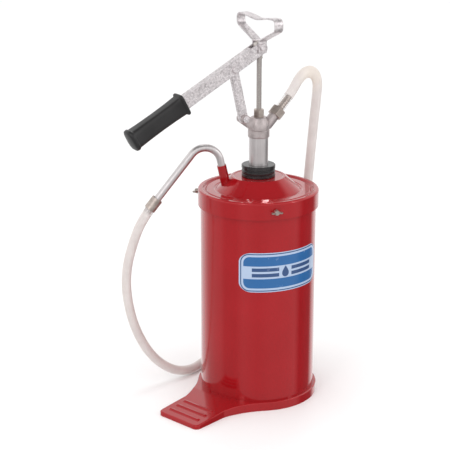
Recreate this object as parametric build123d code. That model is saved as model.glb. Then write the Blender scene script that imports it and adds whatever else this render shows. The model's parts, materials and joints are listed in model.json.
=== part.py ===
from build123d import *
from math import atan2, cos, degrees, hypot, pi, radians, sin, sqrt, tan
import os

# Gear oil dispenser: a lever pump on the lid of a red drum, with a delivery hose and spout.
# Millimetres. Origin on the floor at the drum's axis, +Z up, lever towards -X, outlet towards +X.

# ---- driving dimensions ----
# Drum and base
drum_radius = 115.0
drum_height = 406.5
drum_wall = 1.2
drum_floor_wall = 1.2
base_flange = 6.5
base_height = 18.0
base_sheet = 1.5
foot_heading = 196.0
foot_reach = 114.0
foot_half_width = 52.5
foot_neck_angle = 50.0
foot_neck_length = 36.5
foot_end_height = 8.0
foot_corner = 10.0
foot_ribs = 3
foot_rib_pitch = 20.0
foot_rib_length = 74.0
foot_rib_radius = 5.0
foot_rib_rise = 2.6
label_heading = 265.0
label_arc = 92.0
label_height = 80.0
label_rise = 270.0
label_corner = 19.0
label_film = 0.25

# Lid
lid_stand_off = 5.0
lid_sheet = 1.5
lid_rim_rise = 4.5
lid_skirt = 34.0
lid_land_drop = 2.0
lid_groove = 2.4
lid_dish = 23.0
lid_plateau_radius = 51.0
lid_cone_inset = 38.0
lid_hole_radius = 27.0
gasket_width = 3.8

# Clamping screws round the skirt
screw_headings = (253.4, 13.4, 133.4)
screw_drop = 17.5
screw_radius = 3.0
screw_hub_radius = 5.8
screw_hub_length = 6.5
screw_wing_span = 23.0
screw_wing_rise = 9.0
screw_wing_sheet = 2.4
boss_length = 3.2

# Pump tube and its seat in the lid
tube_radius = 19.0
tube_wall = 1.5
tube_foot_rise = 26.0
tube_reach = 55.0
adapter_rim = 14.5
adapter_height = 23.0
locknut_rim = 13.0
locknut_height = 8.0
seal_sheet = 1.0

# Head
collar_wall = 2.2
collar_height = 15.0
head_height = 25.0
head_top_radius = 15.8
chamber_radius = 15.0
chamber_height = 5.0
gland_thread_wall = 2.5
gland_thread_length = 11.0
gland_flats = 19.0
gland_height = 15.0
packing_height = 6.0
ear_x = -36.0
ear_rise = 25.0
ear_wall = 5.0
ear_sheet = 5.0

# Outlet: an axis at 45 degrees, measured from the middle of the union nut
outlet_x = 42.0
outlet_rise = 29.0
outlet_slope = 45.0
boss_radius = 10.5
outlet_bore = 6.5
union_flats = 27.0
union_length = 17.0
union_lip = 4.5
nut_turning = 0.985
nut_chamfer = 1.6
tail_bore = 4.4
tail_flange = 3.0
tail_length = 32.5
barb_pitch = 5.0
barb_depth = 0.9

# Piston rod, piston and valves
rod_radius = 5.0
eye_wall = 7.0
eye_shank = 23.0
piston_rise = 106.0
piston_skirt = 10.0
piston_gap = 0.9
piston_height = 32.0
piston_crown_inset = 4.0
piston_seat = 6.0
piston_seat_radius = 5.0
piston_chamber_radius = 9.0
piston_chamber_height = 16.0
piston_ball_radius = 6.5
port_radius = 3.6
cup_height = 6.0
cup_width = 3.05
cup_step = 2.0
valve_body_wall = 3.0
valve_body_height = 26.0
valve_web = 10.0
valve_seat_radius = 6.5
foot_ball_radius = 8.0
ball_stop_radius = 1.5
ball_stop_rise = 18.0
strainer_height = 10.0
strainer_wall = 1.5
strainer_slots = 12
strainer_slot_width = 3.0

# Lever, link and handle. The lever's line runs from the rod pin down to the grip.
rod_pin_rise = 163.0
fulcrum_x = -59.4
fulcrum_rise = 124.5
lever_slope = 28.0
lever_line_drop = 2.8
lever_length = 318.0
lever_width = 18.0
lever_height = 24.0
lever_sheet = 2.0
lever_web_start = 19.0
pin_radius = 4.0
pin_head_lip = 3.0
pin_head = 3.0
pin_clip_lip = 2.6
pin_clip = 1.6
pin_tail = 5.0
pin_cover = 3.0
link_width = 18.0
link_play = 2.0
eye_play = 1.0
handle_strip = 2.8
handle_width = 18.0
handle_half_span = 68.0
handle_top_rise = 60.0
handle_dip = 6.5
handle_side_rise = 38.0
handle_tab_rise = 13.0
handle_tab_drop = 12.0
grip_start = 192.0
grip_length = 130.0
grip_wall = 5.5
grip_cover = 6.5
grip_flange_lip = 3.5
grip_flange = 5.0
stroke = 60.0
link_turn_per_mm = 0.131
lever_turn_per_mm = 0.7787

# Hose, ferrule and spout. The spout lies in one upright plane through the drum's axis.
hose_radius = 9.5
hose_wall = 2.6
spout_heading = 160.0
spout_radius = 7.5
spout_bore = 5.5
spout_lean = 12.6
spout_leg_slope = 51.4
spout_bend = 32.0
spout_mouth_offset = (16.8, -4.5)
ferrule_offset = (82.0, -13.5)
ferrule_wall = 2.0
ferrule_length = 26.0
spout_in_hose = 34.0
hose_start_run = 20.0
hose_end_run = 24.0
holder_wall = 1.6
holder_drop = 16.0
holder_rise = 25.0

# Clearances
running = 0.05
fitted = 0.02
loose = 0.4
gasket_ease = 0.3
gasket_inset = 1.5
thread_ease = 0.5
ball_lift = 0.15

# ---- values that follow ----
base_radius = drum_radius + base_flange
foot_fall_start = base_radius + 3
foot_end = base_radius + foot_reach
foot_neck = base_radius + foot_neck_length
drum_top = base_height + drum_height
label_centre = base_height + label_rise
lid_radius = drum_radius + lid_stand_off
lid_inner_radius = lid_radius - lid_sheet
lid_rim = drum_top + lid_rim_rise
lid_land = lid_rim - lid_land_drop
lid_plateau = lid_rim + lid_dish
skirt_foot = lid_rim - lid_skirt
screw_height = lid_rim - screw_drop
tube_inner = tube_radius - tube_wall
tube_foot = base_height + tube_foot_rise
adapter_radius = tube_radius + adapter_rim
adapter_spigot_radius = lid_hole_radius - thread_ease
adapter_foot = lid_plateau + seal_sheet
adapter_top = adapter_foot + adapter_height
locknut_radius = tube_radius + locknut_rim
collar_radius = tube_radius + collar_wall
collar_foot = adapter_top + tube_reach
head_foot = collar_foot + collar_height
head_foot_radius = collar_radius - 0.2
head_top = head_foot + head_height
gland_thread_radius = rod_radius + gland_thread_wall
gland_foot = head_top - gland_thread_length - packing_height
rod_bore = rod_radius + running
ear_z = head_foot + ear_rise
ear_radius = pin_radius + ear_wall
outlet_z = head_foot + outlet_rise
tail_radius = hose_radius - hose_wall
tail_flange_radius = boss_radius - 0.9
hose_exit = union_length / 2
piston_foot = tube_foot + piston_rise
piston_skirt_radius = tube_inner - piston_gap
piston_crown_radius = tube_inner - piston_crown_inset
piston_chamber_top = piston_foot + piston_seat + piston_chamber_height
cup_inner_radius = tube_inner - running - cup_width
rod_foot = piston_chamber_top + 2
valve_body_radius = tube_radius + valve_body_wall
ball_stop_height = tube_foot + ball_stop_rise
strainer_radius = tube_radius
rod_pin_z = head_foot + rod_pin_rise
fulcrum_z = head_foot + fulcrum_rise
lever_line_z = rod_pin_z - lever_line_drop
channel_inner = lever_width / 2 - lever_sheet
eye_radius = pin_radius + eye_wall
eye_width = 2 * (channel_inner - eye_play)
eye_shank_radius = rod_radius + 1.4
eye_foot = rod_pin_z - eye_shank
rod_top = rod_pin_z - pin_radius - pin_cover
pin_head_radius = pin_radius + pin_head_lip
pin_clip_radius = pin_radius + pin_clip_lip
link_sheet = 2 * (channel_inner - link_play)
link_length = hypot(fulcrum_x - ear_x, fulcrum_z - ear_z)
link_lean = degrees(atan2(ear_x - fulcrum_x, fulcrum_z - ear_z))
tab_inner = lever_width / 2 + loose
handle_top = rod_pin_z + handle_top_rise
handle_side_foot = rod_pin_z + handle_side_rise
handle_tab_top = rod_pin_z + handle_tab_rise
handle_tab_foot = rod_pin_z - handle_tab_drop
grip_width = lever_width + 2 * grip_wall
grip_height = lever_height + 2 * grip_cover
spout_mouth = (lid_plateau_radius + spout_mouth_offset[0], lid_plateau + spout_mouth_offset[1])
ferrule_start = (lid_radius + ferrule_offset[0], lid_rim + ferrule_offset[1])
ferrule_radius = hose_radius + ferrule_wall
holder_radius = spout_radius + loose / 2 + holder_wall
holder_foot = lid_plateau - holder_drop
holder_top = lid_plateau + holder_rise

# The hose's route from the union nut, over the fold and down behind the drum, along the floor round
# the back and up through the left-hand loop to the ferrule. Every point is a corner of the tube's runs.
hose_route = [
    (80.0, 0.3, 616.0),
    (93.0, 1.0, 635.0),
    (110.0, 2.2, 648.5),
    (130.0, 3.4, 646.5),
    (143.0, 5.0, 628.0),
    (144.0, 9.0, 596.0),
    (143.0, 17.0, 536.0),
    (143.5, 27.0, 460.0),
    (145.0, 42.0, 360.0),
    (148.0, 66.0, 240.0),
    (152.0, 98.0, 120.0),
    (146.0, 130.0, 42.0),
    (122.0, 158.0, 11.0),
    (76.0, 178.0, 9.6),
    (20.0, 178.0, 9.6),
    (-36.0, 152.0, 9.6),
    (-86.0, 122.0, 9.8),
    (-136.0, 116.0, 22.0),
    (-186.0, 116.0, 66.0),
    (-222.0, 116.0, 134.0),
    (-238.5, 115.5, 204.0),
    (-241.0, 111.0, 262.0),
    (-234.0, 97.0, 318.0),
]


def turned(shape, heading):
    """A shape built in the plane through +X, turned about the drum's axis."""
    return Rot(0, 0, heading) * shape


def ring(outer, inner, foot, height):
    return tube_along((0, 0, foot), (0, 0, 1), outer, inner, height)


def rod_along(start, direction, radius, length):
    """A solid cylinder from a point along a direction."""
    return extrude(Plane(origin=start, z_dir=direction) * Circle(radius), length)


def tube_along(start, direction, outer, inner, length):
    shell = Circle(outer) - Circle(inner)
    return extrude(Plane(origin=start, z_dir=direction) * shell, length)


def upright(points):
    """A face in the XZ plane from (x, z) points."""
    return Plane.XZ * make_face(Polyline(*points, close=True))


def spun(points):
    """A body of revolution about +Z from (r, z) points."""
    return revolve(upright(points), Axis.Z, 360)


def plate(outline, y_low, y_high):
    """An XZ outline, drawn with local x along +X and y along +Z, given a thickness along Y."""
    frame = Plane(origin=(0, y_high, 0), x_dir=(1, 0, 0), z_dir=(0, -1, 0))
    return extrude(frame * outline, y_high - y_low)


def mitred(points, gap):
    """The points of a polyline moved by gap to its right-hand side, with mitred corners."""
    moved = []
    for i, (x, y) in enumerate(points):
        before = points[max(i - 1, 0)]
        after = points[min(i + 1, len(points) - 1)]
        headings = []
        for a, b in ((before, (x, y)), ((x, y), after)):
            if a != b:
                headings.append(atan2(b[1] - a[1], b[0] - a[0]))
        half = (headings[-1] - headings[0]) / 2
        across = headings[0] + half - pi / 2
        reach = gap / cos(half)
        moved.append((x + reach * cos(across), y + reach * sin(across)))
    return moved


def bent_strip(points, radii, gap):
    """A face between a rounded polyline and its copy gap away on its right-hand side."""
    inner_radii = []
    for a, b, c, radius in zip(points, points[1:], points[2:], radii):
        turn = (b[0] - a[0]) * (c[1] - b[1]) - (b[1] - a[1]) * (c[0] - b[0])
        inner_radii.append(radius + gap if turn > 0 else max(radius - gap, 0.3))
    outer = FilletPolyline(*points, radius=radii)
    moved = mitred(points, gap)
    inner = FilletPolyline(*moved, radius=inner_radii)
    ends = [Line(points[0], moved[0]), Line(points[-1], moved[-1])]
    return make_face(outer.edges() + inner.edges() + ends)


def hexagon(flats, height, bore):
    """A hexagonal nut along +Z from its origin, with its corners turned off at the far end."""
    corner = flats / sqrt(3)
    nut = extrude(RegularPolygon(corner, 6), height)
    turned_off = rod_along((0, 0, 0), (0, 0, 1), corner * nut_turning, height)
    cone = Pos(0, 0, height / 2) * Cone(corner + height, corner - nut_chamfer, height)
    return nut & turned_off & cone - rod_along((0, 0, -height), (0, 0, 1), bore, 3 * height)


# ---- drum and base ----
def base_pan(inset, drop):
    """The base's outer or inner shape: a disc and a foot rest that slopes down to its end."""
    radius = base_radius - inset
    height = base_height - drop
    half = foot_half_width - inset
    reach = foot_end - inset
    neck = radians(foot_neck_angle)
    start = (radius * cos(neck), radius * sin(neck))
    middle = ((start[0] + foot_neck) / 2 - 3, (start[1] + half) / 2 - 4.5)
    sides = []
    for side in (1, -1):
        a = (start[0], side * start[1])
        b = (foot_neck, side * half)
        sides.append(ThreePointArc(a, (middle[0], side * middle[1]), b))
    corner = foot_corner - inset
    end = FilletPolyline(
        (foot_neck, half), (reach, half), (reach, -half), (foot_neck, -half), radius=corner
    )
    back = Line((start[0], start[1]), (start[0], -start[1]))
    foot = extrude(make_face(sides + end.edges() + [back]), height)
    slope = upright(
        [
            (foot_fall_start, height),
            (foot_end + 5, foot_end_height - drop),
            (foot_end + 5, height + 20),
            (foot_fall_start, height + 20),
        ]
    )
    foot -= extrude(slope, foot_end, both=True)
    disc = Pos(0, 0, height / 2) * Cylinder(radius, height)
    return disc + foot


def base_plate():
    """Pressed steel base with a foot rest, open underneath."""
    outer = base_pan(0, 0)
    rim = outer.edges().filter_by(lambda e: e.bounding_box().min.Z > foot_end_height - 2)
    outer = fillet(rim, 2.2)
    pan = outer - base_pan(base_sheet, base_sheet)
    fall = (base_height - foot_end_height) / (foot_end + 5 - foot_fall_start)
    for i in range(foot_ribs):
        reach = foot_end - foot_rib_pitch * (i + 1)
        top = base_height - (reach - foot_fall_start) * fall
        centre = top + foot_rib_rise - foot_rib_radius
        bar = Pos(reach, 0, centre) * Rot(90, 0, 0) * Cylinder(foot_rib_radius, foot_rib_length)
        for side in (1, -1):
            bar += Pos(reach, side * foot_rib_length / 2, centre) * Sphere(foot_rib_radius)
        below = Pos(reach, 0, top - 25 - base_sheet / 2) * Box(40, 140, 50)
        pan += bar - below
    return turned(pan, foot_heading)


def drum_shell():
    """The drum's side wall."""
    return ring(drum_radius, drum_radius - drum_wall, base_height, drum_top - base_height)


def drum_bottom():
    radius = drum_radius - drum_wall - fitted
    return Pos(0, 0, base_height + drum_floor_wall / 2) * Cylinder(radius, drum_floor_wall)


def drum_label():
    """A thin sticker wrapped on the drum."""
    back = drum_radius + fitted
    skin = ring(back + label_film, back, label_centre - label_height / 2, label_height)
    chord = 2 * (drum_radius + 1) * sin(radians(label_arc / 2))
    patch = RectangleRounded(chord, label_height, label_corner)
    frame = Plane(origin=(0, 0, label_centre), x_dir=(0, 1, 0), z_dir=(1, 0, 0))
    window = extrude(frame * patch, base_radius)
    return turned(skin & window, label_heading)


# ---- lid ----
def lid_line():
    """The lid's top line, from the foot of the skirt to the hole, and its corner radii."""
    points = [
        (lid_radius, skirt_foot),
        (lid_radius, lid_rim),
        (lid_radius - 9.0, lid_rim),
        (lid_radius - 11.5, lid_land - lid_groove),
        (lid_radius - 15.0, lid_land - lid_groove),
        (lid_radius - 17.5, lid_land),
        (lid_radius - lid_cone_inset + 6.5, lid_land),
        (lid_radius - lid_cone_inset + 4.5, lid_land - lid_groove / 2),
        (lid_radius - lid_cone_inset + 2.0, lid_land - lid_groove / 2),
        (lid_radius - lid_cone_inset, lid_land + 1.0),
        (lid_plateau_radius + 2.6, lid_plateau + 0.9),
        (lid_plateau_radius - 1.2, lid_plateau + 0.9),
        (lid_plateau_radius - 3.0, lid_plateau),
        (lid_hole_radius, lid_plateau),
    ]
    radii = [4.0, 2.2, 1.0, 1.0, 1.6, 1.2, 0.7, 0.7, 1.6, 1.2, 0.8, 0.8]
    return points, radii


def lid():
    """The dished lid with its clamping skirt and the holes for the three screws."""
    points, radii = lid_line()
    sheet = bent_strip([(-x, z) for x, z in points], radii, lid_sheet)
    body = revolve(Plane.XZ * sheet, Axis.Z, 360)
    for heading in screw_headings:
        hole = rod_along((lid_radius - 6, 0, screw_height), (1, 0, 0), screw_radius + loose, 12)
        body -= turned(hole, heading)
    return body


def lid_solid():
    """The lid's outer shape with nothing hollow, to cut what stands on it."""
    points, radii = lid_line()
    return spun(points + [(0, lid_plateau), (0, skirt_foot)])


def lid_gasket():
    """Rubber ring in the lid's rim, over the drum's edge."""
    outer = lid_inner_radius - gasket_inset
    foot = drum_top + running
    return ring(outer, outer - gasket_width, foot, lid_rim - lid_sheet - gasket_ease - foot)


def lid_bosses():
    """Three threaded bosses on the skirt."""
    bosses = []
    for heading in screw_headings:
        start = (lid_radius - 1.2, 0, screw_height)
        boss = tube_along(start, (1, 0, 0), screw_hub_radius, screw_radius + running, boss_length + 1.2)
        boss -= Pos(0, 0, screw_height) * Cylinder(lid_radius + fitted, 40)
        bosses.append(turned(boss, heading))
    return Compound(children=bosses)


def wing_screw(heading):
    """A clamping screw with two wings, along +X before it is turned to its heading."""
    hub_start = lid_radius + boss_length + loose
    tip = (drum_radius + loose, 0, screw_height)
    shank = rod_along(tip, (1, 0, 0), screw_radius, hub_start - drum_radius)
    hub = Pos(hub_start + screw_hub_length / 2, 0, screw_height) * Rot(0, 90, 0)
    hub = hub * Cone(screw_hub_radius, screw_hub_radius - 1.2, screw_hub_length)
    screw = shank + hub
    half = screw_wing_span / 2
    for side in (1, -1):
        root = [(screw_hub_length, side * 2.5), (1.5, side * 2.5)]
        edge = FilletPolyline(
            root[1],
            (0.6, side * (half - 3)),
            (3.0, side * half),
            (screw_wing_rise, side * (half - 0.5)),
            (screw_wing_rise + 1.5, side * (half - 4.5)),
            root[0],
            radius=[1.5, 1.8, 2.0, 2.0],
        )
        outline = make_face(edge.edges() + [Line(*root)])
        frame = Plane(origin=(hub_start, 0, screw_height), x_dir=(1, 0, 0), z_dir=(0, 0, 1))
        screw += extrude(frame * outline, screw_wing_sheet / 2, both=True)
    return turned(screw, heading)


def spout_holder():
    """A rolled sheet tube that stands on the lid's cone and holds the spout's mouth."""
    lean = radians(spout_lean)
    foot = (spout_mouth[0] - (spout_mouth[1] - holder_foot) * tan(lean), 0, holder_foot)
    length = (holder_top - holder_foot) / cos(lean)
    wrap = tube_along(foot, (sin(lean), 0, cos(lean)), holder_radius, spout_radius + loose / 2, length)
    return turned(wrap, spout_heading) - lid_solid()


# ---- pump tube and its seat ----
def pump_tube():
    tube = ring(tube_radius, tube_inner, tube_foot, head_foot - tube_foot)
    side = (0, -tube_radius - 1, ball_stop_height)
    stop_hole = rod_along(side, (0, 1, 0), ball_stop_radius, 2 * tube_radius + 2)
    return tube - stop_hole


def adapter_nut():
    """The black screwed bush that carries the tube in the lid, with ridges round its side."""
    r, z = adapter_radius, adapter_foot
    inner = tube_radius + fitted
    step = adapter_height / 5
    points = [
        (inner, z - locknut_height - 4),
        (adapter_spigot_radius, z - locknut_height - 4),
        (adapter_spigot_radius, z),
        (r - 0.8, z),
        (r - 0.2, z + 0.8),
        (r - 0.2, z + step),
        (r - 1.3, z + step + 0.7),
        (r - 0.3, z + 2 * step),
        (r - 0.3, z + 2.7 * step),
        (r - 1.4, z + 2.9 * step),
        (r - 1.4, z + 3.4 * step),
        (r, z + 3.6 * step),
        (r, z + adapter_height - 1),
        (r - 1, z + adapter_height),
        (inner, z + adapter_height),
    ]
    return spun(points)


def adapter_gasket():
    return ring(adapter_radius - 2, adapter_spigot_radius + fitted, lid_plateau, seal_sheet)


def adapter_locknut():
    """The ring nut that draws the bush down onto the lid from inside."""
    top = lid_plateau - lid_sheet
    nut = ring(locknut_radius, adapter_spigot_radius + fitted, top - locknut_height, locknut_height)
    for heading in range(0, 360, 60):
        notch = Pos(locknut_radius, 0, top - locknut_height / 2) * Box(5, 8, locknut_height + 1)
        nut -= turned(notch, heading)
    return nut


# ---- head and outlet ----
def outlet_point(along):
    """A point on the outlet's axis, measured from the middle of the union nut."""
    slope = radians(outlet_slope)
    return Vector(outlet_x + along * cos(slope), 0, outlet_z + along * sin(slope))


def outlet_direction():
    slope = radians(outlet_slope)
    return Vector(cos(slope), 0, sin(slope))


def tube_collar():
    """The screwed ring between the tube and the head."""
    points = [
        (tube_radius + fitted, collar_foot),
        (collar_radius - 1, collar_foot),
        (collar_radius, collar_foot + 1),
        (collar_radius, head_foot - 1.2),
        (collar_radius - 0.8, head_foot),
        (tube_radius + fitted, head_foot),
    ]
    return spun(points)


def ear_lug():
    """The outline of one lug of the ear that carries the link's foot."""
    eye = Pos(ear_x, ear_z) * Circle(ear_radius)
    web = make_face(
        Polyline(
            (ear_x - ear_radius * 0.75, ear_z - ear_radius * 0.66),
            (-head_foot_radius + 3, head_foot + 1.0),
            (-8, head_foot + 1.0),
            (-8, head_top - 2),
            (-head_top_radius, head_top - 1),
            (ear_x, ear_z + ear_radius),
            close=True,
        )
    )
    return eye + web


def pump_head():
    """Cast head: a dome on the tube with the outlet boss, the gland seat and the ear."""
    r, z = head_foot_radius, head_foot
    dome = revolve(
        Plane.XZ
        * make_face(
            [
                Line((0, z), (r, z)),
                Line((r, z), (r, z + 5)),
                ThreePointArc((r, z + 5), (r - 1.4, z + 15), (head_top_radius, head_top - 1)),
                Line((head_top_radius, head_top - 1), (head_top_radius - 1, head_top)),
                Line((head_top_radius - 1, head_top), (0, head_top)),
                Line((0, head_top), (0, z)),
            ]
        ),
        Axis.Z,
        360,
    )
    boss = rod_along(outlet_point(-40), outlet_direction(), boss_radius, 39)
    lugs = plate(ear_lug(), -link_sheet / 2 - loose - ear_sheet, link_sheet / 2 + loose + ear_sheet)
    head = dome + boss + lugs
    half_gap = link_sheet / 2 + loose
    slot_end = ear_x + ear_radius + 2.0
    slot = Pos(slot_end - 20, 0, ear_z) * Box(40, 2 * half_gap, 60)
    head -= slot
    head -= rod_along((ear_x, -30, ear_z), (0, 1, 0), pin_radius, 60)
    head -= Pos(0, 0, z - 15) * Cylinder(60, 30)
    head -= Pos(0, 0, z + chamber_height / 2) * Cylinder(chamber_radius, chamber_height)
    head -= Pos(0, 0, z + head_height / 2) * Cylinder(rod_radius + loose, head_height * 2)
    gland_well = head_top - gland_foot
    head -= Pos(0, 0, gland_foot + gland_well / 2) * Cylinder(gland_thread_radius + fitted, gland_well)
    head -= rod_along(outlet_point(-44), outlet_direction(), outlet_bore, 60)
    return head


def gland_packing():
    return ring(gland_thread_radius, rod_bore, gland_foot, packing_height)


def gland_nut():
    thread = ring(gland_thread_radius, rod_bore, gland_foot + packing_height, gland_thread_length)
    cap = Pos(0, 0, head_top) * hexagon(gland_flats, gland_height, rod_bore)
    return thread + cap


def ear_pin():
    """Pin through the head's ear and the link's foot, headed at the near side, with a clip."""
    half = link_sheet / 2 + loose + ear_sheet
    return cross_pin(ear_x, ear_z, half)


def cross_pin(x, z, half):
    """A headed pin along Y, whose head and retaining ring lie just outside half."""
    shank = rod_along((x, -half - 1, z), (0, 1, 0), pin_radius, 2 * half + 1 + pin_tail)
    head = Pos(x, -half - pin_head / 2 - fitted, z) * Rot(90, 0, 0) * Cylinder(pin_head_radius, pin_head)
    head = fillet(head.edges().sort_by(Axis.Y)[0], pin_head * 0.45)
    clip = Pos(x, half + pin_clip / 2 + fitted, z) * Rot(90, 0, 0) * Cylinder(pin_clip_radius, pin_clip)
    return shank + head + clip


def union_nut():
    nut = hexagon(union_flats, union_length, tail_radius + 0.6)
    depth = union_length - union_lip
    nut -= Pos(0, 0, depth / 2) * Cylinder(boss_radius + fitted, depth)
    return Plane(origin=outlet_point(-union_length / 2), z_dir=outlet_direction()) * nut


def union_washer():
    return tube_along(outlet_point(-1), outlet_direction(), tail_flange_radius, outlet_bore - 1, 2 - fitted)


def hose_tail():
    """The barbed tail that the hose is pushed onto."""
    r, tip = tail_radius, tail_length + union_length / 2 - 1
    points = [(tail_bore, 0), (tail_flange_radius, 0)]
    points += [(tail_flange_radius, tail_flange), (r - barb_depth, tail_flange)]
    z = union_length / 2 + 1.5
    points.append((r - barb_depth, z))
    while z + barb_pitch < tip - 1:
        points += [(r, z + 0.6), (r, z + 1.2), (r - barb_depth, z + barb_pitch)]
        z += barb_pitch
    points += [(r - barb_depth, tip), (tail_bore, tip)]
    shape = spun(points)
    return Plane(origin=outlet_point(1), z_dir=outlet_direction()) * shape


# ---- piston, rod and valves ----
def piston_body():
    """The piston: a skirt that holds the cup, a ball seat, and a ported crown that takes the rod."""
    z = piston_foot
    body = Pos(0, 0, z + piston_skirt / 2) * Cylinder(piston_skirt_radius, piston_skirt)
    crown = piston_height - piston_skirt
    body += Pos(0, 0, z + piston_skirt + crown / 2) * Cylinder(piston_crown_radius, crown)
    body -= ring(piston_skirt_radius + 1, cup_inner_radius, z + cup_step, cup_height)
    body -= rod_along((0, 0, z - 1), (0, 0, 1), piston_seat_radius, piston_seat + 2)
    chamber = piston_chamber_top - z - piston_seat
    body -= rod_along((0, 0, z + piston_seat), (0, 0, 1), piston_chamber_radius, chamber)
    body -= rod_along((0, 0, piston_chamber_top), (0, 0, 1), rod_radius + fitted, piston_height)
    for heading in (0, 90):
        port = rod_along((-30, 0, piston_chamber_top - port_radius - 1), (1, 0, 0), port_radius, 60)
        body -= turned(port, heading)
    return body


def piston_cup():
    foot = piston_foot + cup_step + fitted
    return ring(tube_inner - running, cup_inner_radius + fitted, foot, cup_height - 2 * fitted)


def ball_on_seat(radius, seat_radius, seat_z):
    centre = seat_z + sqrt(radius**2 - seat_radius**2) + ball_lift
    return Pos(0, 0, centre) * Sphere(radius)


def foot_valve_body():
    """The cup at the tube's foot, with the ball's seat in its web."""
    z = tube_foot - valve_web
    body = Pos(0, 0, z + valve_body_height / 2) * Cylinder(valve_body_radius, valve_body_height)
    body -= rod_along((0, 0, tube_foot), (0, 0, 1), tube_radius + fitted, valve_body_height)
    body -= rod_along((0, 0, z - 1), (0, 0, 1), valve_seat_radius, valve_web + 2)
    return body


def foot_strainer():
    """A slotted cup under the foot valve."""
    top = tube_foot - valve_web
    cup = ring(strainer_radius, strainer_radius - strainer_wall, top - strainer_height, strainer_height)
    cup += ring(strainer_radius, 2.0, top - strainer_height, strainer_wall)
    for i in range(strainer_slots):
        slot = Pos(strainer_radius, 0, top - strainer_height / 2) * Box(
            4 * strainer_wall, strainer_slot_width, strainer_height - 4
        )
        cup -= turned(slot, 360 / strainer_slots * i)
    return cup


def foot_ball_stop():
    side = (0, -tube_radius, ball_stop_height)
    return rod_along(side, (0, 1, 0), ball_stop_radius - fitted, 2 * tube_radius)


def piston_rod():
    return rod_along((0, 0, rod_foot), (0, 0, 1), rod_radius, rod_top - rod_foot)


def rod_eye():
    """The eye on top of the rod, between the lever's walls."""
    eye = Pos(0, 0, rod_pin_z) * Rot(90, 0, 0) * Cylinder(eye_radius, eye_width)
    eye += rod_along((0, 0, eye_foot), (0, 0, 1), eye_shank_radius, eye_shank - 4) & Box(40, eye_width, 4000)
    eye -= rod_along((0, 0, eye_foot - 1), (0, 0, 1), rod_radius + fitted, rod_top - eye_foot + 1)
    eye -= rod_along((0, -20, rod_pin_z), (0, 1, 0), pin_radius, 40)
    return eye


def rod_pin():
    return cross_pin(0, rod_pin_z, tab_inner + handle_strip)


def d_handle():
    """The strip handle: two tabs astride the lever, splayed legs and a slightly dished top bar."""
    y = tab_inner
    half = handle_half_span
    top = handle_top
    points = [
        (-y, handle_tab_foot),
        (-y, handle_tab_top),
        (-half + handle_strip, handle_side_foot),
        (-half + handle_strip, top - handle_strip),
        (-half * 0.62, top - handle_strip - 0.5),
        (0, top - handle_strip - handle_dip),
        (half * 0.62, top - handle_strip - 0.5),
        (half - handle_strip, top - handle_strip),
        (half - handle_strip, handle_side_foot),
        (y, handle_tab_top),
        (y, handle_tab_foot),
    ]
    radii = [4.0, 9.0, 8.0, 20.0, 60.0, 20.0, 8.0, 9.0, 4.0]
    loop = bent_strip(points[::-1], radii, handle_strip)
    frame = Plane(origin=(0, 0, 0), x_dir=(0, 1, 0), z_dir=(1, 0, 0))
    strap = extrude(frame * loop, handle_width / 2, both=True)
    return strap - rod_along((0, -30, rod_pin_z), (0, 1, 0), pin_radius, 60)


# ---- lever and link ----
def lever_plane(offset=0.0):
    """The lever's frame: local x runs to the grip, local y is up, at right angles to the lever."""
    slope = radians(lever_slope)
    return Plane(origin=(0, offset, lever_line_z), x_dir=(-cos(slope), 0, -sin(slope)), z_dir=(0, 1, 0))


def in_lever(x, z):
    """A row point given in the lever's frame."""
    slope = radians(lever_slope)
    dx, dz = x, z - lever_line_z
    return (-dx * cos(slope) - dz * sin(slope), -dx * sin(slope) + dz * cos(slope))


def lever_solid(outline, y_low, y_high):
    return extrude(lever_plane(y_low) * outline, y_high - y_low)


def rod_drift():
    """How far the rod pin strays from the lever's own eye over the stroke, in the lever's frame."""
    eye_u, eye_w = in_lever(0, rod_pin_z)
    spans = []
    steps = 30
    for i in range(steps + 1):
        down = stroke * i / steps
        lean = radians(link_lean + link_turn_per_mm * down)
        turn = radians(lever_turn_per_mm * down)
        pivot_x = ear_x - link_length * sin(lean)
        pivot_z = ear_z + link_length * cos(lean)
        dx, dz = 0 - pivot_x, rod_pin_z - down - pivot_z
        back_x = dx * cos(turn) - dz * sin(turn)
        back_z = dx * sin(turn) + dz * cos(turn)
        u, w = in_lever(fulcrum_x + back_x, fulcrum_z + back_z)
        spans.append((u - eye_u, w - eye_w))
    return spans


def lever_channel():
    """Inverted channel, its end rounded round the rod pin, with slots there for the closing gap."""
    half_h, half_w = lever_height / 2, lever_width / 2
    eye_u, eye_w = in_lever(0, rod_pin_z)
    drift = rod_drift()
    low_u, high_u = min(d[0] for d in drift), max(d[0] for d in drift)
    low_w, high_w = min(d[1] for d in drift), max(d[1] for d in drift)
    end = -(pin_radius + loose - low_u + 2.6) + eye_u
    grip_end = [(lever_length, -half_h), (lever_length, half_h)]
    rim = FilletPolyline(grip_end[1], (end, half_h), (end, -half_h), grip_end[0], radius=half_h * 0.8)
    side = make_face(rim.edges() + [Line(*grip_end)])
    body = lever_solid(side, -half_w, half_w)
    inside = Pos((lever_length + end) / 2, -lever_sheet) * Rectangle(lever_length - end + 2, lever_height)
    body = body - lever_solid(inside, -channel_inner, channel_inner)
    open_end = Pos(lever_web_start - 30, 0) * Rectangle(60, lever_height + 2)
    body -= lever_solid(open_end, -channel_inner, channel_inner)
    slot_r = pin_radius + loose
    slot = Pos(eye_u + (low_u + high_u) / 2, eye_w + (low_w + high_w) / 2) * RectangleRounded(
        high_u - low_u + 2 * slot_r, high_w - low_w + 2 * slot_r, slot_r - 0.1
    )
    body -= lever_solid(slot, -half_w - 1, half_w + 1)
    body -= rod_along((fulcrum_x, -30, fulcrum_z), (0, 1, 0), pin_radius, 60)
    return body


def fulcrum_pin():
    return cross_pin(fulcrum_x, fulcrum_z, lever_width / 2)


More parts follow.
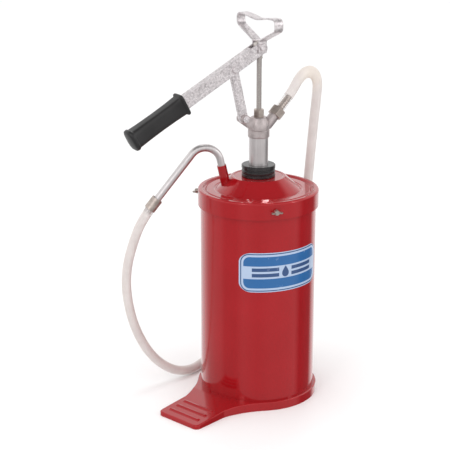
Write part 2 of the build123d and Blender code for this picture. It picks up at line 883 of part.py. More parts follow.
def lever_grip():
    """Rubber grip: a rounded sleeve on the channel with a flange at each end."""
    slope = radians(lever_slope)
    origin = Vector(-grip_start * cos(slope), 0, lever_line_z - grip_start * sin(slope))
    frame = Plane(origin=origin, x_dir=(-sin(slope), 0, cos(slope)), z_dir=(-cos(slope), 0, -sin(slope)))
    sleeve = extrude(frame * RectangleRounded(grip_height, grip_width, 10.5), grip_length)
    lip = 2 * grip_flange_lip
    flange = RectangleRounded(grip_height + lip, grip_width + lip, 13.0)
    sleeve += extrude(frame * flange, grip_flange)
    sleeve += extrude(frame.offset(grip_length - grip_flange) * flange, grip_flange)
    pocket = lever_length - grip_start
    half = lever_width / 2 + fitted
    inside = Rectangle(lever_height + 2 * fitted, 2 * half)
    core_height = lever_height - lever_sheet
    core = Pos(-lever_sheet / 2) * Rectangle(core_height - fitted, 2 * (channel_inner - fitted))
    sleeve -= extrude(frame.offset(-1) * inside, pocket + 1 + fitted)
    sleeve += extrude(frame * core, pocket + 1)
    return sleeve


def link():
    """The bar between the head's ear and the lever."""
    centre = ((ear_x + fulcrum_x) / 2, (ear_z + fulcrum_z) / 2)
    outline = Pos(*centre) * Rot(0, 0, link_lean) * SlotCenterToCenter(link_length, link_width, rotation=90)
    bar = plate(outline, -link_sheet / 2, link_sheet / 2)
    ends = bar.edges().filter_by(lambda e: abs(abs(e.center().Y) - link_sheet / 2) < 0.01)
    bar = fillet(ends, 1.6)
    for x, z in ((ear_x, ear_z), (fulcrum_x, fulcrum_z)):
        bar -= rod_along((x, -30, z), (0, 1, 0), pin_radius + running, 60)
    return bar


# ---- hose and spout ----
def in_spout_plane(r, z):
    heading = radians(spout_heading)
    return Vector(r * cos(heading), r * sin(heading), z)


def spout_leg():
    """The direction of the spout's long leg, from the bend down to the ferrule."""
    slope = radians(spout_leg_slope)
    heading = radians(spout_heading)
    return Vector(cos(slope) * cos(heading), cos(slope) * sin(heading), -sin(slope))


def spout_line():
    """The spout's centre line: up out of the holder, over the bend and down the leg."""
    lean, slope = radians(spout_lean), radians(spout_leg_slope)
    r0, z0 = spout_mouth
    r1, z1 = ferrule_start
    # Where the leaning mouth and the sloping leg would cross
    gap_r, gap_z = r1 - r0, z1 - z0
    across = sin(lean) * sin(slope) + cos(lean) * cos(slope)
    up = (gap_r * sin(slope) + gap_z * cos(slope)) / across
    corner = in_spout_plane(r0 + up * sin(lean), z0 + up * cos(lean))
    end = in_spout_plane(r1, z1) + spout_leg() * spout_in_hose
    return FilletPolyline(in_spout_plane(r0, z0), corner, end, radius=spout_bend)


def spout_tube():
    line = spout_line()
    start = Plane(origin=line @ 0, z_dir=line % 0)
    return sweep(start * (Circle(spout_radius) - Circle(spout_bore)), path=line)


def hose_ferrule():
    """The sleeve that clamps the hose on the spout."""
    start = in_spout_plane(*ferrule_start)
    return tube_along(start, spout_leg(), ferrule_radius, hose_radius + fitted, ferrule_length)


def hose_points():
    """The route, between two points in line with the outlet and two in line with the spout's leg."""
    exits = [outlet_point(hose_exit + fitted), outlet_point(hose_exit + hose_start_run)]
    start = in_spout_plane(*ferrule_start)
    ends = [start + spout_leg() * (ferrule_length + hose_end_run), start]
    return exits + [Vector(*p) for p in hose_route] + ends


def corner_radii(points):
    """The largest arc that each corner's two runs allow."""
    radii = []
    for a, b, c in zip(points, points[1:], points[2:]):
        half_turn = radians((b - a).get_angle(c - b)) / 2
        radii.append(0.45 * min((b - a).length, (c - b).length) / tan(half_turn))
    return radii


def hose():
    points = hose_points()
    line = FilletPolyline(*points, radius=corner_radii(points))
    tube = sweep(Plane(origin=line @ 0, z_dir=line % 0) * Circle(hose_radius), path=line)
    print("hose length", round(line.length, 1))
    out, leg = outlet_direction(), spout_leg()
    tail_hole = rod_along(points[0] - out, out, tail_radius + fitted, tail_length + 1)
    spout_hole = rod_along(points[-1] - leg, leg, spout_radius + fitted, spout_in_hose + 1.5)
    return tube - tail_hole - spout_hole


nodes = {
    "base_plate": base_plate,
    "drum_shell": drum_shell,
    "drum_bottom": drum_bottom,
    "drum_label": drum_label,
    "lid": lid,
    "lid_gasket": lid_gasket,
    "lid_bosses": lid_bosses,
    "spout_holder": spout_holder,
    "adapter_nut": adapter_nut,
    "adapter_gasket": adapter_gasket,
    "adapter_locknut": adapter_locknut,
    "pump_tube": pump_tube,
    "tube_collar": tube_collar,
    "pump_head": pump_head,
    "gland_packing": gland_packing,
    "gland_nut": gland_nut,
    "union_nut": union_nut,
    "union_washer": union_washer,
    "hose_tail": hose_tail,
    "foot_valve_body": foot_valve_body,
    "foot_ball": lambda: ball_on_seat(foot_ball_radius, valve_seat_radius, tube_foot),
    "foot_ball_stop": foot_ball_stop,
    "foot_strainer": foot_strainer,
    "piston_body": piston_body,
    "piston_cup": piston_cup,
    "piston_ball": lambda: ball_on_seat(piston_ball_radius, piston_seat_radius, piston_foot + piston_seat),
    "piston_rod": piston_rod,
    "rod_eye": rod_eye,
    "rod_pin": rod_pin,
    "d_handle": d_handle,
    "ear_pin": ear_pin,
    "link": link,
    "fulcrum_pin": fulcrum_pin,
    "lever_channel": lever_channel,
    "lever_grip": lever_grip,
    "spout_tube": spout_tube,
    "hose_ferrule": hose_ferrule,
    "hose": hose,
}
for number, heading in enumerate(screw_headings, 1):
    nodes[f"wing_screw_{number}"] = lambda heading=heading: wing_screw(heading)

os.makedirs("parts", exist_ok=True)
for name, make in nodes.items():
    export_step(make(), f"parts/{name}.step")
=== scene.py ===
import json
import math

import bmesh
import bpy
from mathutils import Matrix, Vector


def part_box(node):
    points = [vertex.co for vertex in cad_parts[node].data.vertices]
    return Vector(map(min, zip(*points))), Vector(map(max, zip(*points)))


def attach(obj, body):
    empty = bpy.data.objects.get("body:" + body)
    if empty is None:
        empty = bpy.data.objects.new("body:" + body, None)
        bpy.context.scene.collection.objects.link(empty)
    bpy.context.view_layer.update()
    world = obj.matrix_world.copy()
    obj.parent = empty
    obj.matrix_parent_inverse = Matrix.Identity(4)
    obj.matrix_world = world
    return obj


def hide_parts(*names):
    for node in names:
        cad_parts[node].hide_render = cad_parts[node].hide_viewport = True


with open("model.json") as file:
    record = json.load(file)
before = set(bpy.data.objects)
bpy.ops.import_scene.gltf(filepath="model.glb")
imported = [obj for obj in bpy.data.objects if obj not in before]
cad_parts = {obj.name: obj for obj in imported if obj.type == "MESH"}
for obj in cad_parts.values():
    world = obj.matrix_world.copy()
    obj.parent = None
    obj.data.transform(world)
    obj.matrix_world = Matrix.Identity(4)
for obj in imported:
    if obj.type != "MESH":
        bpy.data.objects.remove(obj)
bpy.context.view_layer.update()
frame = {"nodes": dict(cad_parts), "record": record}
nodes = frame["nodes"]

# ---------------------------------------------------------------- sizes taken from the frame
drum_low, drum_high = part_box("drum_shell")
drum_radius = (drum_high.x - drum_low.x) / 2
label_low, label_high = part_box("drum_label")
floor_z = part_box("base_plate")[0].z


# ---------------------------------------------------------------- camera and hose
CAMERA_HEADING = -33.0  # the side the camera stands on, seen from the drum's axis
CAMERA_DISTANCE = 2.489
CAMERA_HEIGHT = 1.118
CAMERA_PITCH = 16.57
CAMERA_LENS = 104.1
CAMERA_YAW = 1.52
CAMERA_SHIFT = -0.03


def set_camera():
    """One camera at the drum's front left, a little above the lid."""
    data = bpy.data.cameras.new("camera")
    camera = bpy.data.objects.new("camera", data)
    bpy.context.scene.collection.objects.link(camera)
    heading = math.radians(CAMERA_HEADING)
    camera.location = (
        CAMERA_DISTANCE * math.sin(heading),
        -CAMERA_DISTANCE * math.cos(heading),
        CAMERA_HEIGHT,
    )
    camera.rotation_euler = (
        math.radians(90 - CAMERA_PITCH),
        0,
        heading + math.radians(CAMERA_YAW),
    )
    data.lens = CAMERA_LENS
    data.shift_y = CAMERA_SHIFT
    bpy.context.scene.camera = camera


HOSE_RADIUS = 0.0095
HOSE_FOLD = (0.124, 0.003, 0.640)
HOSE_FOLD_REACH = 0.032
HOSE_FOLD_BROADER = 0.30
HOSE_FOLD_THINNER = 0.28
hose_route = [
    (0.0480, 0.0000, 0.5810),
    (0.0622, 0.0000, 0.5952),
    (0.0800, 0.0003, 0.6160),
    (0.0930, 0.0010, 0.6350),
    (0.1100, 0.0022, 0.6485),
    (0.1300, 0.0034, 0.6465),
    (0.1430, 0.0050, 0.6280),
    (0.1440, 0.0090, 0.5960),
    (0.1430, 0.0170, 0.5360),
    (0.1435, 0.0270, 0.4600),
    (0.1450, 0.0420, 0.3600),
    (0.1480, 0.0660, 0.2400),
    (0.1520, 0.0980, 0.1200),
    (0.1460, 0.1300, 0.0420),
    (0.1220, 0.1580, 0.0110),
    (0.0760, 0.1780, 0.0096),
    (0.0200, 0.1780, 0.0096),
    (-0.0360, 0.1520, 0.0096),
    (-0.0860, 0.1220, 0.0098),
    (-0.1360, 0.1160, 0.0220),
    (-0.1860, 0.1160, 0.0660),
    (-0.2220, 0.1160, 0.1340),
    (-0.2385, 0.1155, 0.2040),
    (-0.2410, 0.1110, 0.2620),
    (-0.2340, 0.0970, 0.3180),
    (-0.2191, 0.0797, 0.3764),
    (-0.1898, 0.0691, 0.4155),
]


def in_scene(name, data, body):
    """A new object for some mesh or curve, riding on a body."""
    obj = bpy.data.objects.new(name, data)
    bpy.context.scene.collection.objects.link(obj)
    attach(obj, body)
    return obj


def skin(work, rings):
    """Closes the wall between each ring of corners and the next."""
    for ring, following in zip(rings, rings[1:]):
        for i in range(len(ring)):
            k = (i + 1) % len(ring)
            work.faces.new((ring[i], ring[k], following[k], following[i]))


def hose_path():
    """Points along the hose's smooth line."""
    curve = bpy.data.curves.new("hose_line", "CURVE")
    curve.dimensions = "3D"
    spline = curve.splines.new("NURBS")
    spline.points.add(len(hose_route) - 1)
    for point, place in zip(spline.points, hose_route):
        point.co = (*place, 1)
    spline.order_u = 3
    spline.use_endpoint_u = True
    spline.resolution_u = 12
    line = bpy.data.objects.new("hose_line", curve)
    mesh = bpy.data.meshes.new_from_object(line)
    points = [vertex.co.copy() for vertex in mesh.vertices]
    bpy.data.objects.remove(line)
    return points


def delivery_hose():
    """The hose along its line: round, but squashed broad where it is folded over by its own weight."""
    points = hose_path()
    work = bmesh.new()
    around = 32
    side = Vector((0, 1, 0))
    rings = []
    for i, point in enumerate(points):
        forward = (points[min(i + 1, len(points) - 1)] - points[max(i - 1, 0)]).normalized()
        side = (side - forward * side.dot(forward)).normalized()
        flat = forward.cross(side)
        squash = math.exp(-(((point - Vector(HOSE_FOLD)).length / HOSE_FOLD_REACH) ** 2))
        broad = HOSE_RADIUS * (1 + HOSE_FOLD_BROADER * squash)
        thin = HOSE_RADIUS * (1 - HOSE_FOLD_THINNER * squash)
        ring = []
        for k in range(around):
            turn = 2 * math.pi * k / around
            corner = point + flat * broad * math.cos(turn) + side * thin * math.sin(turn)
            ring.append(work.verts.new(corner))
        rings.append(ring)
    skin(work, rings)
    bmesh.ops.recalc_face_normals(work, faces=work.faces)
    mesh = bpy.data.meshes.new("delivery_hose")
    work.to_mesh(mesh)
    work.free()
    mesh.shade_smooth()
    hose = in_scene("delivery_hose", mesh, "lid")
    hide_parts("hose")
    return hose


# ---------------------------------------------------------------- shader maths
class Wire:
    """One socket in a tree of nodes, with arithmetic on its values."""

    def __init__(self, tree, socket):
        self.tree = tree
        self.socket = socket

    def _math(self, operation, *others):
        values = dict(enumerate((self, *others)))
        return self.tree.node("ShaderNodeMath", {"operation": operation}, values)

    def __add__(self, other):
        return self._math("ADD", other)

    def __radd__(self, other):
        return self._math("ADD", other)

    def __sub__(self, other):
        return self._math("SUBTRACT", other)

    def __rsub__(self, other):
        return self.tree.node("ShaderNodeMath", {"operation": "SUBTRACT"}, {0: other, 1: self})

    def __mul__(self, other):
        return self._math("MULTIPLY", other)

    def __rmul__(self, other):
        return self._math("MULTIPLY", other)

    def __truediv__(self, other):
        return self._math("DIVIDE", other)

    def __abs__(self):
        return self._math("ABSOLUTE")

    def __pow__(self, other):
        return self._math("POWER", other)

    def low(self, other):
        return self._math("MINIMUM", other)

    def high(self, other):
        return self._math("MAXIMUM", other)

    def angle_to(self, other):
        return self._math("ARCTAN2", other)

    def root(self):
        return self._math("SQRT")

    def clamped(self):
        return self.low(1.0).high(0.0)

    def smooth(self, low, high):
        """0 below low and 1 above high, with a soft step between."""
        settings = {"interpolation_type": "SMOOTHSTEP"}
        values = {"Value": self, "From Min": low, "From Max": high}
        return self.tree.node("ShaderNodeMapRange", settings, values)


class Nodes:
    """A tree of nodes, in which every node is made the same way."""

    def __init__(self, tree):
        self.tree = tree

    def node(self, kind, settings=None, inputs=None, output=0):
        """Adds a node with its settings and its sockets' values or links, and returns one output.

        A node that ends the tree has no output: with output=None the node itself is returned.
        """
        made = self.tree.nodes.new(kind)
        for key, value in (settings or {}).items():
            if key == "stops":
                stops = made.color_ramp.elements
                for at, _ in value[1:-1]:
                    stops.new(at)
                for stop, (at, colour) in zip(stops, value):
                    stop.position = at
                    stop.color = (*colour, 1)
            else:
                setattr(made, key, value)
        for key, value in (inputs or {}).items():
            if isinstance(value, Wire):
                self.tree.links.new(value.socket, made.inputs[key])
            else:
                made.inputs[key].default_value = value
        return made if output is None else Wire(self, made.outputs[output])

    def parts(self, vector):
        """The X, Y and Z of a place, or the channels of a colour."""
        split = self.node("ShaderNodeSeparateXYZ", {}, {0: vector}, None)
        return [Wire(self, out) for out in split.outputs]

    def mix(self, factor, a, b):
        """A colour from a to b."""
        a, b = (value if isinstance(value, Wire) else (*value, 1) for value in (a, b))
        return self.node("ShaderNodeMix", {"data_type": "RGBA"}, {0: factor, 6: a, 7: b}, 2)


class Paint(Nodes):
    """A material under construction: a Principled shader and the nodes that feed it."""

    def __init__(self, name, edge_radius=0.0, **constants):
        self.edge_radius = edge_radius
        self.material = bpy.data.materials.new(name)
        self.material.use_nodes = True
        super().__init__(self.material.node_tree)
        self.tree.nodes.clear()
        values = {socket.replace("_", " "): value for socket, value in constants.items()}
        self.shader = self.node("ShaderNodeBsdfPrincipled", {}, values, None)
        surface = Wire(self, self.shader.outputs[0])
        self.node("ShaderNodeOutputMaterial", {}, {"Surface": surface}, None)
        self.place = self.node("ShaderNodeTexCoord", {}, {}, "Object")

    def feed(self, **links):
        for socket, value in links.items():
            self.tree.links.new(value.socket, self.shader.inputs[socket.replace("_", " ")])
        return self

    def scaled(self, factors):
        """The place, stretched by three factors."""
        return self.node("ShaderNodeVectorMath", {"operation": "MULTIPLY"}, {0: self.place, 1: factors})

    def noise(self, scale, detail=3.0, rough=0.5, vector=None, bend=0.0):
        return self.node(
            "ShaderNodeTexNoise",
            {},
            {
                "Vector": vector or self.place,
                "Scale": scale,
                "Detail": detail,
                "Roughness": rough,
                "Distortion": bend,
            },
        )

    def cells(self, scale, feature="F1", output="Distance"):
        values = {"Vector": self.place, "Scale": scale}
        return self.node("ShaderNodeTexVoronoi", {"feature": feature}, values, output)

    def bump(self, height, distance, strength=1.0):
        """Feeds the shader's normal with a height in units of distance."""
        inputs = {"Height": height, "Distance": distance, "Strength": strength}
        if self.edge_radius:
            inputs["Normal"] = self.node("ShaderNodeBevel", {"samples": 6}, {"Radius": self.edge_radius})
        return self.feed(Normal=self.node("ShaderNodeBump", {}, inputs, "Normal"))


# ---------------------------------------------------------------- finishes
def red_gloss_paint():
    """Stoved red enamel: a faint orange peel, cloudy depth and a few fine rubs."""
    gloss = {"Coat_Weight": 0.55, "Coat_Roughness": 0.03, "Specular_IOR_Level": 0.3}
    paint = Paint("red_gloss_paint", Metallic=0.2, **gloss)
    cloud = paint.noise(9.0, 3.0)
    fine = paint.noise(160.0, 2.0)
    shade = (cloud - 0.5) * 0.9 + (fine - 0.5) * 0.3 + 0.5
    colour = paint.mix(shade.clamped(), (0.31, 0.004, 0.006), (0.42, 0.008, 0.014))
    rubs = paint.noise(60.0, 4.0, 0.7, paint.scaled((1.0, 1.0, 0.06)), 1.2).smooth(0.66, 0.8)
    paint.feed(Base_Color=colour, Roughness=0.11 + rubs * 0.12 + (fine - 0.5) * 0.04)
    return paint.bump(paint.noise(330.0, 2.0) + cloud * 0.6, 0.00012, 0.35)


def black_bush():
    """Black moulded bush with a glossy, slightly drawn face."""
    paint = Paint("black_bush", Specular_IOR_Level=0.6)
    cloud = paint.noise(70.0, 3.0)
    colour = paint.mix(cloud, (0.010, 0.010, 0.011), (0.028, 0.027, 0.028))
    paint.feed(Base_Color=colour, Roughness=0.16 + cloud * 0.18)
    return paint.bump(paint.noise(600.0, 3.0) + cloud, 0.00015, 0.4)


def drawn_tube():
    """Drawn steel tube: lengthwise streaks, with faint dulled patches."""
    paint = Paint("drawn_tube", Metallic=1.0)
    streak = paint.noise(420.0, 3.0, 0.6, paint.scaled((1.0, 1.0, 0.03)))
    patch = paint.noise(26.0, 3.0)
    shade = (streak - 0.5) * 0.8 + (patch - 0.5) * 0.5 + 0.55
    colour = paint.mix(shade.clamped(), (0.52, 0.485, 0.485), (0.86, 0.82, 0.82))
    paint.feed(Base_Color=colour, Roughness=0.27 + streak * 0.14 + patch * 0.08)
    return paint.bump(streak, 0.0001, 0.35)


def cast_alloy():
    """Tumbled zinc alloy casting: mottled, with a fine sandy skin."""
    paint = Paint("cast_alloy", 0.0012, Metallic=0.9)
    mottle = paint.noise(95.0, 4.0, 0.65)
    grit = paint.noise(900.0, 3.0, 0.6)
    pits = paint.cells(260.0).smooth(0.16, 0.02)
    shade = (mottle - 0.5) * 1.3 + 0.5
    colour = paint.mix(shade.clamped(), (0.32, 0.275, 0.27), (0.74, 0.665, 0.66))
    paint.feed(Base_Color=colour, Roughness=0.36 + mottle * 0.2 + pits * 0.15)
    return paint.bump(mottle * 1.5 + grit * 0.6 - pits * 0.5, 0.0004, 0.55)


def galvanised_steel():
    """Hot-dip zinc: spangled grains of differing brightness over a slightly lumpy coat."""
    paint = Paint("galvanised_steel", 0.0012, Metallic=0.9)
    wobble = paint.noise(240.0, 3.0)
    grains = paint.cells(420.0, "F1", "Color")
    tint = paint.parts(grains)[0]
    rims = paint.cells(420.0, "DISTANCE_TO_EDGE").smooth(0.0, 0.1)
    cloud = paint.noise(60.0, 3.0)
    shade = (tint - 0.5) * 0.55 + (wobble - 0.5) * 0.9 + (cloud - 0.5) * 0.6 + 0.5
    colour = paint.mix(shade.clamped(), (0.46, 0.42, 0.43), (0.96, 0.91, 0.92))
    paint.feed(Base_Color=colour, Roughness=0.30 + tint * 0.18 + (1 - rims) * 0.1)
    return paint.bump(wobble + rims * 0.15 + tint * 0.2, 0.0003, 0.5)


def passivated_zinc():
    """Brownish passivated plating on turned nuts and fittings."""
    paint = Paint("passivated_zinc", 0.0007, Metallic=1.0)
    cloud = paint.noise(130.0, 3.0)
    fine = paint.noise(800.0, 2.0)
    colour = paint.mix((cloud * 1.4 - 0.2).clamped(), (0.33, 0.27, 0.24), (0.68, 0.60, 0.55))
    paint.feed(Base_Color=colour, Roughness=0.27 + cloud * 0.2)
    return paint.bump(fine + cloud, 0.0002, 0.4)


def turned_steel():
    """Ground and turned bar with fine rings round it and a trace of oil."""
    paint = Paint("turned_steel", Metallic=1.0)
    rings = paint.noise(1.0, 3.0, 0.6, paint.scaled((40.0, 40.0, 1500.0)))
    streak = paint.noise(300.0, 2.0, 0.5, paint.scaled((1.0, 1.0, 0.04)))
    colour = paint.mix(streak, (0.40, 0.36, 0.34), (0.72, 0.67, 0.64))
    paint.feed(Base_Color=colour, Roughness=0.18 + rings * 0.14)
    return paint.bump(rings, 0.00006, 0.4)


def grip_rubber():
    """Black rubber with a fine leathery grain, dulled where it is held."""
    paint = Paint("grip_rubber", Specular_IOR_Level=0.5)
    grain = paint.cells(620.0)
    cloud = paint.noise(45.0, 3.0)
    colour = paint.mix(cloud, (0.006, 0.006, 0.0065), (0.018, 0.0165, 0.017))
    paint.feed(Base_Color=colour, Roughness=0.30 + cloud * 0.2)
    return paint.bump(grain + cloud * 0.4, 0.0002, 0.4)


def seal_rubber():
    """Dull black sealing rubber."""
    paint = Paint("seal_rubber")
    cloud = paint.noise(90.0, 3.0)
    colour = paint.mix(cloud, (0.014, 0.014, 0.014), (0.04, 0.038, 0.036))
    paint.feed(Base_Color=colour, Roughness=0.6 + cloud * 0.2)
    return paint.bump(cloud, 0.0002, 0.4)


def milky_hose():
    """Soft PVC, milky and slightly pink, clearer where a fitting fills it and yellowed at its fold."""
    paint = Paint("milky_hose", IOR=1.45)
    cloud = paint.noise(35.0, 3.0)
    haze = paint.noise(240.0, 2.0)
    edge = paint.node("ShaderNodeLayerWeight", {}, {"Blend": 0.35}, "Facing")
    colour = paint.mix(cloud, (0.66, 0.585, 0.565), (0.79, 0.735, 0.71))

    def near(spot, full, none):
        """1 within full of a place on the hose and 0 beyond none."""
        ends = {0: paint.place, 1: spot}
        away = paint.node("ShaderNodeVectorMath", {"operation": "DISTANCE"}, ends, "Value")
        return 1 - away.smooth(full, none)

    fold = near(HOSE_FOLD, 0.010, 0.045)
    colour = paint.mix(fold * 0.55, colour, (0.86, 0.77, 0.66))
    clear = near(hose_route[0], 0.030, 0.036).high(near(hose_route[-1], 0.030, 0.042) * 0.6)
    alpha = (0.66 + edge * 0.34 + (cloud - 0.5) * 0.12) * (1 - clear * 0.72)
    paint.feed(Base_Color=colour, Roughness=0.24 + haze * 0.16, Alpha=alpha.clamped())
    return paint.bump(haze + cloud, 0.0003, 0.3)


LABEL_BLUE = (0.016, 0.115, 0.32)
LABEL_INK = (0.030, 0.072, 0.19)
LABEL_PALE = (0.40, 0.50, 0.67)
LABEL_HEADING = math.radians(265)  # the side of the drum that the label's middle faces
LABEL_ARC = math.radians(92)


def label_print():
    """A plain printed sticker: a blue panel with pale rules and a drop between bars on a pale band."""
    paint = Paint("label_print", Coat_Weight=0.3, Coat_Roughness=0.1)
    x, y, z = paint.parts(paint.place)
    turned_x = x * math.cos(LABEL_HEADING) + y * math.sin(LABEL_HEADING)
    turned_y = y * math.cos(LABEL_HEADING) - x * math.sin(LABEL_HEADING)
    across = turned_y.angle_to(turned_x) * drum_radius
    up = z - (label_low.z + label_high.z) / 2
    half_width = LABEL_ARC / 2 * drum_radius
    half_height = (label_high.z - label_low.z) / 2

    def panel(inset, corner):
        """Distance outside a rounded panel set in from the label's edge."""
        dx = (abs(across) - (half_width - inset - corner)).high(0.0)
        dy = (abs(up) - (half_height - inset - corner)).high(0.0)
        return (dx * dx + dy * dy).root() - corner

    edge = 0.0002
    colour = LABEL_PALE
    rules = ((0.0018, 0.0175, LABEL_INK), (0.0040, 0.0155, LABEL_PALE), (0.0080, 0.0125, LABEL_BLUE))
    for inset, corner, tone in rules:
        colour = paint.mix(1 - panel(inset, corner).smooth(-edge, edge), colour, tone)
    lapped = (abs(up) - 0.0128).high(abs(across) - (half_width - 0.0060))
    colour = paint.mix(1 - lapped.smooth(-edge, edge), colour, LABEL_PALE)
    drop_radius = 0.0074
    taper = ((up + 0.001) / 0.0125).clamped()
    round_part = (across * across + (up + 0.0035) * (up + 0.0035)).root() - drop_radius
    tip_part = (abs(across) - (1 - taper) ** 0.8 * drop_radius).high(-0.001 - up).high(up - 0.0115)
    drop = 1 - round_part.low(tip_part).smooth(-edge, edge)
    bar = abs(abs(up) - 0.0056) - 0.0036
    reach = (abs(abs(across) - 0.0405) - 0.0270).high(bar)
    bars = 1 - reach.smooth(-edge, edge)
    colour = paint.mix(drop.high(bars), colour, LABEL_INK)
    wear = paint.noise(50.0, 4.0, 0.7).smooth(0.62, 0.75)
    colour = paint.mix(wear * 0.18, colour, LABEL_PALE)
    paint.feed(Base_Color=colour, Roughness=0.22 + wear * 0.2)
    return paint.bump(paint.noise(500.0, 2.0), 0.00005, 0.3)


finishes = {
    "red_paint": red_gloss_paint(),
    "label_film": label_print(),
    "black_moulding": black_bush(),
    "seal_rubber": seal_rubber(),
    "tube_steel": drawn_tube(),
    "cast_zinc": cast_alloy(),
    "turned_steel": turned_steel(),
    "plated_nut": passivated_zinc(),
    "galvanised": galvanised_steel(),
    "grip_rubber": grip_rubber(),
    "hose_pvc": milky_hose(),
}


def finish_with(obj, slot):
    """Gives an object the one finish of its slot."""
    obj.data.materials.clear()
    obj.data.materials.append(finishes[slot].material)


def shade_by_angle(obj, degrees):
    """Smooth faces, with creases kept where the surface turns sharply."""
    mesh = obj.data
    mesh.shade_smooth()
    work = bmesh.new()
    work.from_mesh(mesh)
    limit = math.radians(degrees)
    for edge in work.edges:
        edge.smooth = len(edge.link_faces) == 2 and edge.calc_face_angle(0) < limit
    work.to_mesh(mesh)
    work.free()


# ---------------------------------------------------------------- the grip
LEVER_SLOPE = math.radians(28)
GRIP_LENGTH = 0.130
GRIP_HALF_WIDTH = 0.0145
GRIP_HALF_HEIGHT = 0.0185


def grip():
    """The moulded grip: a softly squared sleeve with a lipped mouth and a thick domed end."""
    low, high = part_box("lever_grip")
    along = Vector((-math.cos(LEVER_SLOPE), 0, -math.sin(LEVER_SLOPE)))
    upward = Vector((-math.sin(LEVER_SLOPE), 0, math.cos(LEVER_SLOPE)))
    start = (low + high) / 2 - along * (GRIP_LENGTH / 2)
    # how far along, how much is added to the half sizes, and how square the section is
    stations = [
        (0.0000, -0.0040, 5.4), (0.0000, 0.0016, 5.4), (0.0004, 0.0026, 5.4), (0.0016, 0.0034, 5.4),
        (0.0042, 0.0033, 5.4), (0.0056, 0.0022, 5.4), (0.0064, 0.0008, 5.4), (0.0080, 0.0000, 5.4),
        (0.0300, -0.0008, 5.4), (0.0620, -0.0012, 5.2), (0.0950, -0.0008, 5.0), (0.1170, 0.0000, 4.8),
        (0.1190, 0.0006, 4.8), (0.1200, 0.0024, 3.2), (0.1212, 0.0033, 3.0), (0.1240, 0.0034, 2.9),
        (0.1266, 0.0026, 2.8), (0.1278, 0.0008, 2.7), (0.1286, -0.0030, 2.6), (0.1293, -0.0075, 2.4),
        (0.1298, -0.0115, 2.2),
    ]
    work = bmesh.new()
    around = 72
    rings = []
    for reach, swell, square in stations:
        ring = []
        for i in range(around):
            turn = 2 * math.pi * i / around
            c, s = math.cos(turn), math.sin(turn)
            y = math.copysign(abs(c) ** (2 / square), c) * (GRIP_HALF_WIDTH + swell)
            z = math.copysign(abs(s) ** (2 / square), s) * (GRIP_HALF_HEIGHT + swell)
            ring.append(work.verts.new(start + along * reach + upward * z + Vector((0, y, 0))))
        rings.append(ring)
    skin(work, rings)
    work.faces.new(rings[-1])
    work.faces.new(reversed(rings[0]))
    bmesh.ops.recalc_face_normals(work, faces=work.faces)
    mesh = bpy.data.meshes.new("grip_sleeve")
    work.to_mesh(mesh)
    work.free()
    sleeve = in_scene("grip_sleeve", mesh, "lever")
    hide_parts("lever_grip")
    shade_by_angle(sleeve, 50)
    return sleeve


# ---------------------------------------------------------------- studio
FLOOR_REACH = 60
SUN_SPREAD = math.radians(80)
SUN_TILT = (math.radians(10), math.radians(-12), 0)
LAMP_AIM = (0, 0, 0.43)
LAMP_CENTRE = Vector((0.464, 0.712, 2.43))  # high behind the drum, so its lid throws them back
LAMP_ASIDE = Vector((0.838, -0.546, 0))
LAMP_BACK = Vector((0.4, 0.6, -0.4))


def area_light(name, place, target, size, power):
    """A rectangular lamp aimed at a spot."""
    data = bpy.data.lights.new(name, "AREA")
    data.shape = "RECTANGLE"
    data.size, data.size_y = size
    data.energy = power
    light = bpy.data.objects.new(name, data)
    bpy.context.scene.collection.objects.link(light)
    light.location = place
    light.rotation_euler = (Vector(target) - Vector(place)).to_track_quat("-Z", "Y").to_euler()


def pale_floor():
    """A wide floor that the pieces stand on and that their gloss doesn't show."""
    mesh = bpy.data.meshes.new("floor")
    turns = ((-1, -1), (1, -1), (1, 1), (-1, 1))
    corners = [(x * FLOOR_REACH, y * FLOOR_REACH, floor_z) for x, y in turns]
    mesh.from_pydata(corners, [], [(0, 1, 2, 3)])
    floor = bpy.data.objects.new("floor", mesh)
    bpy.context.scene.collection.objects.link(floor)
    paint = Paint("pale_floor")
    cloud = paint.noise(0.8, 2.0)
    colour = paint.mix(cloud, (0.93, 0.93, 0.93), (0.96, 0.96, 0.96))
    paint.feed(Base_Color=colour, Roughness=0.5 + cloud * 0.1)
    mesh.materials.append(paint.material)
    floor.visible_glossy = False


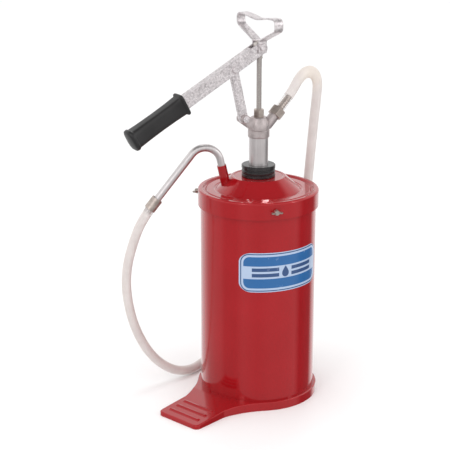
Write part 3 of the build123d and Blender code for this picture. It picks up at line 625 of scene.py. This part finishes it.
def studio():
    """The floor, the room, a broad overhead light, two softboxes and four ceiling lamps."""
    scene = bpy.context.scene
    scene.view_settings.view_transform = "Standard"
    pale_floor()
    room()
    sun = bpy.data.lights.new("overhead_light", "SUN")
    sun.energy = 1.5
    sun.angle = SUN_SPREAD
    overhead = bpy.data.objects.new("overhead_light", sun)
    overhead.rotation_euler = SUN_TILT
    overhead.visible_glossy = False
    scene.collection.objects.link(overhead)
    area_light("key_softbox", (-1.9, -1.0, 1.5), (0, 0, 0.3), (0.4, 1.6), 5)
    area_light("fill_softbox", (1.3, -1.7, 1.2), (0, 0, 0.35), (0.3, 1.3), 4)
    for side in (-0.24, 0.24):
        for step in (0.0, 0.10):
            place = LAMP_CENTRE + LAMP_ASIDE * side + LAMP_BACK * step
            area_light("ceiling_lamp", place, LAMP_AIM, (0.24, 0.05), 1.2)


# How light the room is below the floor's level, by heading in degrees round the drum
BAYS = [
    (-180, 0.40), (-168, 0.40), (-152, 0.60), (-123, 0.48), (-95, 0.58), (-42, 0.58), (-28, 0.12),
    (6, 0.12), (20, 0.95), (104, 0.95), (122, 0.58), (158, 0.58), (168, 0.40), (180, 0.40),
]
WALL_WHITE = (1.0, 1.0, 1.0)
CEILING_GREY = (0.22, 0.22, 0.22)
ROOM_STRENGTH = 1.05


def room():
    """White walls under a dim ceiling, and below the floor's level bays that only gloss sees."""
    world = bpy.data.worlds.new("room")
    world.use_nodes = True
    tree = Nodes(world.node_tree)
    x, y, z = tree.parts(tree.node("ShaderNodeTexCoord", {}, {}, "Generated"))
    turn = y.angle_to(x) * (0.5 / math.pi) + 0.5
    stops = [(0.5 + degrees / 360, (grey, grey, grey)) for degrees, grey in BAYS]
    bays = tree.node("ShaderNodeValToRGB", {"stops": stops}, {0: turn}, "Color")
    walls = tree.mix(z.smooth(-0.14, -0.01), bays, WALL_WHITE)
    shade = tree.mix(z.smooth(0.62, 0.80), walls, CEILING_GREY)
    background = world.node_tree.nodes["Background"]
    world.node_tree.links.new(shade.socket, background.inputs["Color"])
    background.inputs["Strength"].default_value = ROOM_STRENGTH
    bpy.context.scene.world = world


# ---------------------------------------------------------------- assembly
set_camera()
hose = delivery_hose()
studio()
slot_of = {part["node"]: part["material_slot"] for part in frame["record"]["subparts"]}
for name, node in nodes.items():
    finish_with(node, slot_of[name])
finish_with(hose, "hose_pvc")
finish_with(grip(), "grip_rubber")
